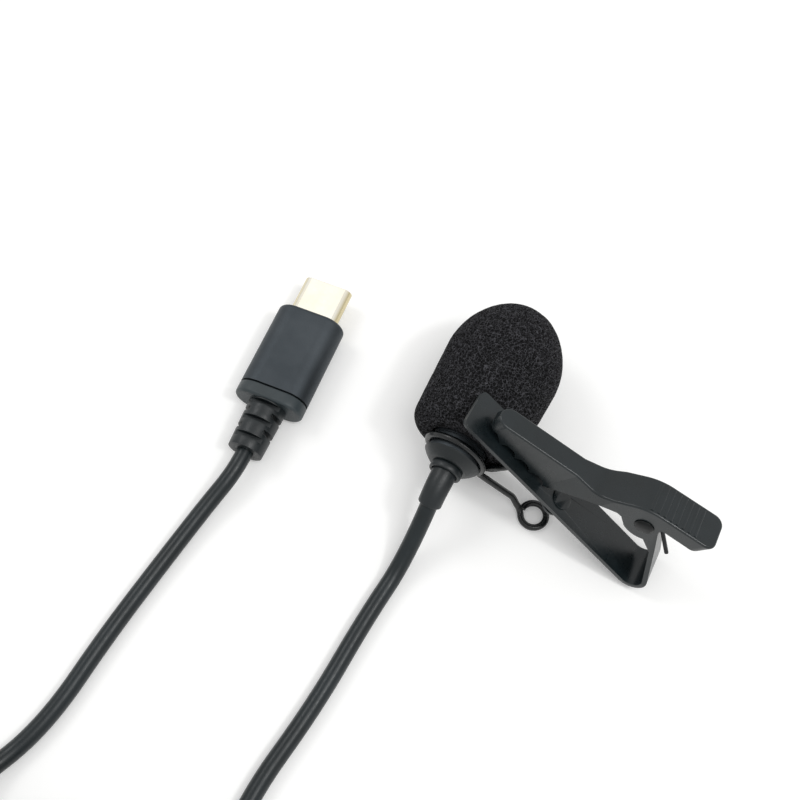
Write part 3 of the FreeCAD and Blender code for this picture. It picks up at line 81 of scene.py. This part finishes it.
# ---- finishes ----
# grain and cloud are in millimetres: grain is what the surface feels like, cloud the slow change
# in tone across it. stretch draws the grain out along one axis, bump is its height. turned is
# painted shade: the darker tone given to sides that curve away from the flat.
finishes = {
    # Stamped steel, dip lacquered: nearly black, with a faint orange peel in its reflections
    "glossBlackLacquer": {"colour": "#0f1618", "shade": "#151d20", "rough": (0.26, 0.34), "grain": 0.9,
                          "cloud": 6.0, "bump": 0.004, "ior": 1.5},
    # Drawn wire under the same lacquer, thicker and glossier in its bends
    "lacqueredWire": {"colour": "#080b0c", "shade": "#0c1012", "rough": (0.22, 0.3), "grain": 0.5,
                      "cloud": 4.0, "bump": 0.003, "ior": 1.5},
    # Turned pin under thin blacking: darker than the sheet round it
    "blackenedPin": {"colour": "#050707", "shade": "#0a0d0e", "rough": (0.3, 0.4), "grain": 0.3,
                     "cloud": 2.0, "bump": 0.003, "ior": 1.32},
    # Blackened spring steel: dark metal with the drawing marks along it
    "blackenedSpringSteel": {"colour": "#2c2d2f", "shade": "#1b1c1d", "rough": (0.3, 0.42), "grain": 0.25,
                             "cloud": 3.0, "bump": 0.002, "metal": 1.0},
    # Moulded rubber: soft broad highlights, a fine matt grain from the mould
    "mouldedRubber": {"colour": "#0c1315", "shade": "#131a1d", "rough": (0.36, 0.48), "grain": 0.3,
                      "cloud": 5.0, "bump": 0.008, "ior": 1.47},
    # Extruded PVC jacket: satin, with slight waves along its length
    "extrudedPvc": {"colour": "#141b1d", "shade": "#1a2225", "rough": (0.3, 0.4), "grain": 0.8,
                    "cloud": 7.0, "bump": 0.006, "ior": 1.4},
    # Anodised aluminium, bead blasted: a dark metal whose reflections spread into a grey haze
    "blackAnodised": {"colour": "#4c5155", "shade": "#43484c", "rough": (0.46, 0.6), "grain": 0.16,
                      "cloud": 9.0, "bump": 0.01, "metal": 1.0},
    # Moulded ABS behind the sleeve: the same tone, a little duller
    "mouldedAbs": {"colour": "#1f292c", "shade": "#293337", "rough": (0.42, 0.54), "grain": 0.25,
                   "cloud": 6.0, "bump": 0.005, "ior": 1.54},
    # Stamped shell with a pale gilt wash in cream; the straw on its turned edges is painted shade
    "paleGilt": {"colour": "#fffcf0", "shade": "#fef8e6", "turned": "#d3c7a2", "rough": (0.14, 0.18),
                 "grain": 0.4, "cloud": 3.0, "bump": 0.0, "metal": 1.0},
    # Gold flash over copper alloy on the contacts
    "goldFlash": {"colour": "#e6b65a", "shade": "#dba848", "rough": (0.18, 0.28), "grain": 0.2,
                  "cloud": 2.0, "bump": 0.001, "metal": 1.0},
    # Glass-filled liquid crystal polymer of the insulator: matt black, faintly speckled
    "mouldedPolymer": {"colour": "#111214", "shade": "#1b1c1e", "rough": (0.5, 0.62), "grain": 0.15,
                       "cloud": 3.0, "bump": 0.003, "ior": 1.6},
    # Drawn aluminium can: bright, with drawing marks round it
    "drawnAluminium": {"colour": "#d2d3d5", "shade": "#c2c3c6", "rough": (0.25, 0.38), "grain": 0.2,
                       "cloud": 3.0, "bump": 0.002, "metal": 1.0, "stretch": (1, 8, 1)},
    # Metallised polyester film of the diaphragm
    "metallisedFilm": {"colour": "#cfc9b4", "shade": "#bdb69f", "rough": (0.12, 0.2), "grain": 0.5,
                       "cloud": 2.0, "bump": 0.001, "metal": 1.0},
    # Solder mask on glass laminate: green lacquer over a faint weave
    "solderMask": {"colour": "#12412a", "shade": "#1b5637", "rough": (0.3, 0.4), "grain": 0.3,
                   "cloud": 1.2, "bump": 0.003, "ior": 1.55},
    # Woven acoustic mesh behind the ports
    "wovenMesh": {"colour": "#16171a", "shade": "#34363b", "rough": (0.6, 0.75), "grain": 0.12,
                  "cloud": 1.0, "bump": 0.02, "ior": 1.5},
    # Extruded wire insulation, red oxide
    "wireSleeve": {"colour": "#8c2a22", "shade": "#a0362c", "rough": (0.3, 0.4), "grain": 0.3,
                   "cloud": 2.0, "bump": 0.002, "ior": 1.52},
}


def makeFinish(name, look):
    material = bpy.data.materials.new(name)
    material.use_nodes = True
    tree = material.node_tree
    tree.nodes.clear()
    place = addNode(tree, "ShaderNodeTexCoord").outputs["Object"]
    drawn = addNode(tree, "ShaderNodeMapping", {"Vector": place, "Scale": look.get("stretch", (1, 1, 1))})
    grain = addNode(tree, "ShaderNodeTexNoise", {
        "Vector": drawn.outputs["Vector"], "Scale": 1 / (look["grain"] * mm), "Detail": 3.0})
    cloud = addNode(tree, "ShaderNodeTexNoise", {
        "Vector": place, "Scale": 1 / (look["cloud"] * mm), "Detail": 3.0, "Roughness": 0.6})
    tone = addNode(tree, "ShaderNodeMapRange", {
        "Value": cloud.outputs["Fac"], "From Min": 0.35, "From Max": 0.65})
    colour = addNode(tree, "ShaderNodeMix", {
        0: tone.outputs["Result"], 6: linear(look["colour"]), 7: linear(look["shade"])}, data_type="RGBA")
    # Painted shade: sides whose normal turns away from straight up or down take the darker turned tone
    if "turned" in look:
        facing = addNode(tree, "ShaderNodeSeparateXYZ", {
            "Vector": addNode(tree, "ShaderNodeTexCoord").outputs["Normal"]})
        flat = addNode(tree, "ShaderNodeMath", {0: facing.outputs["Z"]}, operation="ABSOLUTE")
        side = addNode(tree, "ShaderNodeMapRange", {
            "Value": flat.outputs[0], "From Min": 0.96, "From Max": 0.7})
        colour = addNode(tree, "ShaderNodeMix", {
            0: side.outputs["Result"], 6: colour.outputs[2], 7: linear(look["turned"])}, data_type="RGBA")
    low, high = look["rough"]
    rough = addNode(tree, "ShaderNodeMapRange", {
        "Value": grain.outputs["Fac"], "From Min": 0.3, "From Max": 0.7, "To Min": low, "To Max": high})
    bump = addNode(tree, "ShaderNodeBump", {
        "Height": grain.outputs["Fac"], "Distance": look["bump"] * mm})
    surface = addNode(tree, "ShaderNodeBsdfPrincipled", {
        "Base Color": colour.outputs[2], "Roughness": rough.outputs["Result"],
        "Normal": bump.outputs["Normal"], "Metallic": look.get("metal", 0.0),
        "IOR": look.get("ior", 1.5)})
    addNode(tree, "ShaderNodeOutputMaterial", {"Surface": surface.outputs["BSDF"]})
    return material


made = {name: makeFinish(name, look) for name, look in finishes.items()}
print(len(made), "finishes made")

# ---- cord: one route from the strain relief, through the coil, to the plug ----
cordSize = {"diameter": 0.00266, "length": 1.475, "exit": (-0.01424, -0.0168, 0.007462)}
micRoute = [
    cordSize["exit"], (-0.01424, -0.024108, 0.00133), (-0.01524, -0.03475, 0.00133),
    (-0.01559, -0.04895, 0.00133), (-0.01764, -0.06445, 0.00133), (-0.01544, -0.07995, 0.00133),
    (-0.01214, -0.09049, 0.00133), (-0.01214, -0.09899, 0.00133)]
plugRoute = [
    (-0.043777, -0.021283, 0.0032), (-0.043429, -0.024766, 0.0032), (-0.04464, -0.03075, 0.002),
    (-0.04584, -0.04095, 0.00133), (-0.04694, -0.05425, 0.00133), (-0.04724, -0.06795, 0.00133),
    (-0.05044, -0.07755, 0.00133), (-0.05434, -0.08999, 0.01153), (-0.05434, -0.09899, 0.01153)]
coil = {"centre": (-0.03324, -0.10165), "outer": 0.0211, "pitch": 0.0037, "rise": 0.0034,
        "bottom": 0.00133, "layers": 4, "halfTurns": 6, "pointsPerHalfTurn": 8}


def coilPoints():
    # In and out again, climbing one layer over a half turn at each reversal
    moves = []
    for layer in range(coil["layers"]):
        inwards = -1 if layer % 2 == 0 else 1
        moves += [(inwards * coil["pitch"] / 2, 0.0)] * coil["halfTurns"]
        if layer < coil["layers"] - 1:
            moves.append((0.0, coil["rise"]))
    steps = coil["pointsPerHalfTurn"]
    points = []
    radius, height = coil["outer"], coil["bottom"]
    for halfTurn, (step, climb) in enumerate(moves):
        for index in range(steps):
            share = index / steps
            angle = -math.pi * (halfTurn + share)
            reach = radius + step * share
            points.append((coil["centre"][0] + reach * math.cos(angle),
                           coil["centre"][1] + reach * math.sin(angle), height + climb * share))
        radius += step
        height += climb
    angle = -math.pi * len(moves)
    points.append((coil["centre"][0] + radius * math.cos(angle),
                   coil["centre"][1] + radius * math.sin(angle), height))
    return points


def makeCord():
    curve = bpy.data.curves.new("cord", "CURVE")
    curve.dimensions = "3D"
    curve.bevel_depth = cordSize["diameter"] / 2
    curve.bevel_resolution = 5
    curve.use_fill_caps = True
    points = micRoute + coilPoints() + plugRoute[::-1]
    spline = curve.splines.new("NURBS")
    spline.points.add(len(points) - 1)
    for point, place in zip(spline.points, points):
        point.co = (*place, 1.0)
    spline.order_u = 3
    spline.use_endpoint_u = True
    spline.resolution_u = 8
    spline.use_smooth = True
    piece = addObject("cord", curve)
    curve.materials.append(made["extrudedPvc"])
    return piece


cord = makeCord()
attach(cord, "microphone")
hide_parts("cord_mic_run", "cord_coil", "cord_plug_run")
print("cord laid")

# ---- windscreen: open-cell foam ----
# The form is a turned cap, thicker towards its round end. Pores are cells of a Voronoi pattern:
# the walls between cells stay at the surface, and each cell is sunk between them. wallShare of the
# depth holds the walls just at the form's surface, and sway is a slow unevenness in that depth.
windscreen = {"axis": (-14.24, 9.1), "ring": -7.95, "start": 0.72, "straight": 14.23, "dome": 10.95,
              "crown": 7.7, "radius": 9.1, "base": 8.5, "rounding": 2.4, "bore": 4.55, "boreEnd": 15.7,
              "sides": 128, "voxel": 0.15}
pores = {"size": 0.6, "depth": 0.3, "edge": (0.04, 0.34), "wallShare": 0.2, "sway": 0.35, "swaySize": 1.8}
# The finer cells between the pores are drawn in the material, as bump and as painted shade that darkens
# down into each cell and pore
foamLook = {"wall": "#444448", "slope": "#19191b", "hollow": "#040405", "cellSize": 0.38,
            "edge": (0.03, 0.26), "poreShare": 0.3, "mottle": 0.5, "mottleSize": 0.6,
            "toneRange": (0.2, 1.3), "slopeAt": 0.3, "hollowAt": 0.75, "bump": 0.16,
            "rough": 0.8, "ior": 1.3}


def arcPoints(centre, radius, first, last, count):
    return [(centre[0] + radius * math.cos(first + (last - first) * i / count),
             centre[1] + radius * math.sin(first + (last - first) * i / count)) for i in range(count + 1)]


def windscreenProfile():
    # (radius, distance along the axis) from the bore's end, round the outside, to the tip
    w = windscreen
    domeStart = w["start"] + w["straight"]
    tip = domeStart + w["dome"]
    side = ((w["radius"] ** 2 - w["crown"] ** 2 + (w["dome"] - w["crown"]) ** 2)
            / (2 * (w["radius"] - w["crown"])))
    sideCentre = (w["radius"] - side, domeStart)
    crownCentre = (0.0, tip - w["crown"])
    lean = math.atan2(crownCentre[1] - sideCentre[1], crownCentre[0] - sideCentre[0])
    points = [(0.0, w["boreEnd"]), (w["bore"], w["boreEnd"]), (w["bore"], w["start"]),
              (w["base"] - w["rounding"], w["start"])]
    points += arcPoints((w["base"] - w["rounding"], w["start"] + w["rounding"]), w["rounding"],
                        -math.pi / 2, 0, 12)[1:]
    points += arcPoints(sideCentre, side, 0, lean, 10)
    points += arcPoints(crownCentre, w["crown"], lean, math.pi / 2, 14)[1:]
    return points


def foamForm():
    mesh = bmesh.new()
    line = []
    for radius, along in windscreenProfile():
        line.append(mesh.verts.new((
            (windscreen["axis"][0] + radius) * mm, (windscreen["ring"] + along) * mm,
            windscreen["axis"][1] * mm)))
    edges = [mesh.edges.new(pair) for pair in zip(line, line[1:])]
    centre = (windscreen["axis"][0] * mm, 0, windscreen["axis"][1] * mm)
    bmesh.ops.spin(mesh, geom=line + edges, cent=centre, axis=(0, 1, 0), angle=2 * math.pi,
                   steps=windscreen["sides"], use_duplicate=False)
    bmesh.ops.remove_doubles(mesh, verts=mesh.verts, dist=1e-6)
    bmesh.ops.recalc_face_normals(mesh, faces=mesh.faces)
    data = bpy.data.meshes.new("windscreenForm")
    mesh.to_mesh(data)
    mesh.free()
    return addObject("windscreenForm", data)


def foamMaterial():
    # Reticulated polyether foam, dyed black: the walls take its own dark grey with a painted sheen, and
    # painted shade darkens each slope into the middle of every cell and pore
    material = bpy.data.materials.new("polyetherFoam")
    material.use_nodes = True
    tree = material.node_tree
    tree.nodes.clear()
    place = addNode(tree, "ShaderNodeTexCoord").outputs["Object"]
    pore = addNode(tree, "ShaderNodeAttribute", attribute_name="pore")
    mottle = addNode(tree, "ShaderNodeTexNoise", {
        "Vector": place, "Scale": 1 / (foamLook["mottleSize"] * mm), "Detail": 2.0})
    cells = addNode(tree, "ShaderNodeTexVoronoi", {
        "Vector": place, "Scale": 1 / (foamLook["cellSize"] * mm)}, feature="DISTANCE_TO_EDGE")
    low, high = foamLook["edge"]
    hollow = addNode(tree, "ShaderNodeMapRange", {
        "Value": cells.outputs["Distance"], "From Min": low, "From Max": high},
        interpolation_type="SMOOTHSTEP")
    deeper = addNode(tree, "ShaderNodeMath", {
        0: pore.outputs["Fac"], 1: foamLook["poreShare"]}, operation="MULTIPLY")
    sunk = addNode(tree, "ShaderNodeMath", {
        0: hollow.outputs["Result"], 1: deeper.outputs[0]}, operation="ADD")
    uneven = addNode(tree, "ShaderNodeMath", {
        0: mottle.outputs["Fac"], 1: foamLook["mottle"]}, operation="MULTIPLY")
    mottled = addNode(tree, "ShaderNodeMath", {0: sunk.outputs[0], 1: uneven.outputs[0]}, operation="ADD")
    low, high = foamLook["toneRange"]
    share = addNode(tree, "ShaderNodeMapRange", {
        "Value": mottled.outputs[0], "From Min": low, "From Max": high})
    # Painted shade: the ramp runs from the walls' tone with painted sheen, through the slope tone, to
    # near black at the bottom of each cell and pore
    ramp = addNode(tree, "ShaderNodeValToRGB", {"Fac": share.outputs["Result"]})
    ramp.color_ramp.elements[0].color = linear(foamLook["wall"])
    ramp.color_ramp.elements[1].position = foamLook["hollowAt"]
    ramp.color_ramp.elements[1].color = linear(foamLook["hollow"])
    slope = ramp.color_ramp.elements.new(foamLook["slopeAt"])
    slope.color = linear(foamLook["slope"])
    height = addNode(tree, "ShaderNodeMath", {0: 1.0, 1: hollow.outputs["Result"]}, operation="SUBTRACT")
    bump = addNode(tree, "ShaderNodeBump", {
        "Height": height.outputs[0], "Distance": foamLook["bump"] * mm})
    surface = addNode(tree, "ShaderNodeBsdfPrincipled", {
        "Base Color": ramp.outputs["Color"], "Roughness": foamLook["rough"], "IOR": foamLook["ior"],
        "Normal": bump.outputs["Normal"]})
    addNode(tree, "ShaderNodeOutputMaterial", {"Surface": surface.outputs["BSDF"]})
    return material


def poreTree():
    tree = bpy.data.node_groups.new("foamPores", "GeometryNodeTree")
    tree.interface.new_socket("Geometry", in_out="INPUT", socket_type="NodeSocketGeometry")
    sizes = {}
    for name, value in (("Pore size", pores["size"] * mm), ("Pore depth", pores["depth"] * mm)):
        socket = tree.interface.new_socket(name, in_out="INPUT", socket_type="NodeSocketFloat")
        socket.default_value = value
        sizes[name] = socket.identifier
    tree.interface.new_socket("Geometry", in_out="OUTPUT", socket_type="NodeSocketGeometry")
    start = addNode(tree, "NodeGroupInput")
    place = addNode(tree, "GeometryNodeInputPosition").outputs["Position"]
    perMetre = addNode(tree, "ShaderNodeMath", {
        0: 1.0, 1: start.outputs["Pore size"]}, operation="DIVIDE")
    cells = addNode(tree, "ShaderNodeTexVoronoi", {
        "Vector": place, "Scale": perMetre.outputs["Value"], "Randomness": 0.9},
        feature="DISTANCE_TO_EDGE")
    low, high = pores["edge"]
    sunk = addNode(tree, "ShaderNodeMapRange", {
        "Value": cells.outputs["Distance"], "From Min": low, "From Max": high},
        interpolation_type="SMOOTHSTEP")
    sway = addNode(tree, "ShaderNodeTexNoise", {
        "Vector": place, "Scale": 1 / (pores["swaySize"] * mm), "Detail": 1.0})
    uneven = addNode(tree, "ShaderNodeMath", {
        0: sway.outputs["Fac"], 1: pores["sway"]}, operation="MULTIPLY")
    depth = addNode(tree, "ShaderNodeMath", {
        0: sunk.outputs["Result"], 1: uneven.outputs["Value"]}, operation="ADD")
    below = addNode(tree, "ShaderNodeMath", {
        0: depth.outputs["Value"], 1: pores["wallShare"]}, operation="SUBTRACT")
    inward = addNode(tree, "ShaderNodeMath", {
        0: below.outputs["Value"], 1: start.outputs["Pore depth"]}, operation="MULTIPLY")
    offset = addNode(tree, "ShaderNodeVectorMath", {
        0: addNode(tree, "GeometryNodeInputNormal").outputs["Normal"], "Scale": inward.outputs["Value"]},
        operation="SCALE")
    turned = addNode(tree, "ShaderNodeVectorMath", {
        0: offset.outputs["Vector"], "Scale": -1.0}, operation="SCALE")
    # The pore depth is kept as an attribute, from which the material paints shade into the deeper pores
    kept = addNode(tree, "GeometryNodeStoreNamedAttribute", {
        "Geometry": start.outputs["Geometry"], "Name": "pore", "Value": sunk.outputs["Result"]},
        data_type="FLOAT", domain="POINT")
    moved = addNode(tree, "GeometryNodeSetPosition", {
        "Geometry": kept.outputs["Geometry"], "Offset": turned.outputs["Vector"]})
    joined = addNode(tree, "GeometryNodeRealizeInstances", {"Geometry": moved.outputs["Geometry"]})
    finish = addNode(tree, "GeometryNodeSetMaterial", {
        "Geometry": joined.outputs["Geometry"], "Material": foamMaterial()})
    addNode(tree, "NodeGroupOutput", {"Geometry": finish.outputs["Geometry"]})
    return tree, sizes


def makeFoam():
    form = foamForm()
    remesh = form.modifiers.new("even", "REMESH")
    remesh.mode = "VOXEL"
    remesh.voxel_size = windscreen["voxel"] * mm
    sinking = form.modifiers.new("pores", "NODES")
    tree, sizes = poreTree()
    sinking.node_group = tree
    sinking[sizes["Pore size"]] = pores["size"] * mm
    sinking[sizes["Pore depth"]] = pores["depth"] * mm
    view = bpy.context.evaluated_depsgraph_get()
    data = bpy.data.meshes.new_from_object(form.evaluated_get(view))
    data.name = "windscreenFoam"
    data.shade_smooth()
    bpy.data.objects.remove(form)
    return addObject("windscreenFoam", data)


foam = makeFoam()
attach(foam, "windscreen")
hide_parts("windscreen")
print("windscreen made with", len(foam.data.polygons), "faces")

# ---- finishes of the CAD pieces ----
nodeFinish = {
    "mic_housing": "blackAnodised", "mic_grille": "blackAnodised", "acoustic_mesh": "wovenMesh",
    "capsule_can": "drawnAluminium", "capsule_diaphragm": "metallisedFilm",
    "capsule_backplate": "drawnAluminium", "capsule_board": "solderMask",
    "impedance_chip": "mouldedPolymer", "capsule_gasket": "mouldedRubber", "lead_wires": "wireSleeve",
    "cable_crimp": "goldFlash", "mic_cord_root": "extrudedPvc", "rear_boot": "mouldedRubber",
    "boot_collar": "mouldedRubber", "mic_strain_relief": "mouldedRubber", "ring_wire": "lacqueredWire",
    "lower_jaw": "glossBlackLacquer", "upper_lever": "glossBlackLacquer",
    "hinge_pin": "blackenedPin", "torsion_spring": "blackenedSpringSteel",
    "holder_rivet": "glossBlackLacquer", "plug_shell": "paleGilt", "plug_insulator": "mouldedPolymer",
    "plug_contacts_top": "goldFlash", "plug_contacts_bottom": "goldFlash",
    "plug_latches": "drawnAluminium", "plug_circuit_board": "solderMask", "audio_chip": "mouldedPolymer",
    "plug_inner_mould": "mouldedPolymer", "plug_sleeve": "blackAnodised", "plug_end_cap": "mouldedAbs",
    "plug_strain_relief": "mouldedRubber", "plug_cord_root": "extrudedPvc",
}
for name, finish in nodeFinish.items():
    nodes[name].data.materials.clear()
    nodes[name].data.materials.append(made[finish])

# Pressed, moulded and turned edges are never knife sharp: a small round on each, in millimetres,
# catches the light. Edges that bend by less than roundFrom degrees are part of a curve and stay.
roundFrom = 40
edgeRounds = {"lower_jaw": 0.12, "hinge_pin": 0.18, "holder_rivet": 0.1,
              "boot_collar": 0.2, "mic_strain_relief": 0.12, "plug_strain_relief": 0.14,
              "rear_boot": 0.12, "plug_shell": 0.06, "plug_end_cap": 0.08}
for name, width in edgeRounds.items():
    weld = nodes[name].modifiers.new("weld", "WELD")
    weld.merge_threshold = 1e-6
    bevel = nodes[name].modifiers.new("round", "BEVEL")
    bevel.limit_method = "ANGLE"
    bevel.angle_limit = math.radians(roundFrom)
    bevel.width = width * mm
    bevel.segments = 2
    bevel.use_clamp_overlap = True
    bevel.harden_normals = False
    shade = nodes[name].modifiers.new("shade", "WEIGHTED_NORMAL")
    shade.keep_sharp = False
print("CAD pieces finished")

# ---- table, studio light and background ----
studio = {"floorTone": "#f4f4f3", "floorSize": 4.0, "floorLift": 0.15, "skyFill": 0.79,
          "aim": (-0.015, -0.01, 0.0)}
# A soft key from the left and a broad softbox from the right. edgeLamp draws the bright line along
# the clip's near edge, and shellLamp stands where the plug's shell mirrors it into the camera.
lamps = {
    "keyLamp": {"place": (-0.42, 0.06, 0.5), "size": 0.24, "power": 0.62},
    "softboxLamp": {"place": (0.22, -0.05, 0.57), "size": 0.34, "power": 0.9},
    "edgeLamp": {"place": (0.31, 0.02, 0.5), "size": 0.07, "power": 0.5},
    "shellLamp": {"place": (-0.19, 0.27, 0.51), "size": 0.22, "power": 0.034},
}


def seenShare(tree):
    # 1 for rays from the camera and those that gloss or glass sends on, 0 for the rest
    path = addNode(tree, "ShaderNodeLightPath")
    seen = path.outputs["Is Camera Ray"]
    for name in ("Is Glossy Ray", "Is Transmission Ray"):
        either = addNode(tree, "ShaderNodeMath", {0: seen, 1: path.outputs[name]}, operation="MAXIMUM")
        seen = either.outputs[0]
    return seen


def makeFloor():
    data = bpy.data.meshes.new("tableTop")
    half = studio["floorSize"] / 2
    corners = [(-half, -half, 0), (half, -half, 0), (half, half, 0), (-half, half, 0)]
    data.from_pydata(corners, [], [(0, 1, 2, 3)])
    floor = addObject("tableTop", data)
    material = bpy.data.materials.new("whiteTable")
    material.use_nodes = True
    tree = material.node_tree
    tree.nodes.clear()
    matt = addNode(tree, "ShaderNodeBsdfDiffuse", {"Color": linear(studio["floorTone"])})
    lift = addNode(tree, "ShaderNodeMath", {
        0: seenShare(tree), 1: studio["floorLift"]}, operation="MULTIPLY")
    glow = addNode(tree, "ShaderNodeEmission", {"Strength": lift.outputs[0]})
    both = addNode(tree, "ShaderNodeAddShader", {0: matt.outputs[0], 1: glow.outputs[0]})
    addNode(tree, "ShaderNodeOutputMaterial", {"Surface": both.outputs[0]})
    data.materials.append(material)


def makeWorld():
    world = bpy.data.worlds.new("studio")
    scene.world = world
    world.use_nodes = True
    tree = world.node_tree
    tree.nodes.clear()
    strength = addNode(tree, "ShaderNodeMapRange", {
        "Value": seenShare(tree), "To Min": studio["skyFill"], "To Max": 1.0})
    sky = addNode(tree, "ShaderNodeBackground", {"Strength": strength.outputs["Result"]})
    addNode(tree, "ShaderNodeOutputWorld", {"Surface": sky.outputs[0]})


def makeLamp(name, lamp):
    data = bpy.data.lights.new(name, "AREA")
    data.shape = "DISK"
    data.size = lamp["size"]
    data.energy = lamp["power"]
    item = addObject(name, data)
    item.location = lamp["place"]
    aim = Vector(studio["aim"]) - Vector(lamp["place"])
    item.rotation_euler = aim.to_track_quat("-Z", "Y").to_euler()


makeFloor()
makeWorld()
for name, lamp in lamps.items():
    makeLamp(name, lamp)
print("studio lit")
